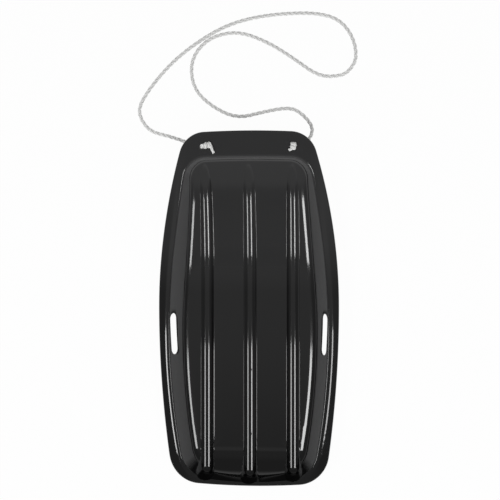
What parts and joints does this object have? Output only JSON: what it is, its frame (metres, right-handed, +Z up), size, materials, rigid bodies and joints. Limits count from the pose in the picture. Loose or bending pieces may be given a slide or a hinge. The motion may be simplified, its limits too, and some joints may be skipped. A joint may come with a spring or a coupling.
{
  "type": "snow sled",
  "caption": "One-piece moulded downhill snow sled: shallow tub with channelled floor, turned-down rim, hand slots, front deck and a knotted rope tow loop.",
  "frame": {"origin": "on the ground, under the middle of the sled's length and width", "axes": "+Y towards the front deck and the rope, +X to the right of a rider who faces the front, +Z up"},
  "size_m": [0.5682, 1.2037, 0.1135],
  "materials": {
    "sled_plastic": "smooth, high gloss black",
    "rope": "twisted white fibre with a slight sheen"
  },
  "bodies": {
    "root": {"sled_body": "sled_plastic", "tow_rope": "rope", "left_knot": "rope", "right_knot": "rope"}
  },
  "joints": []
}
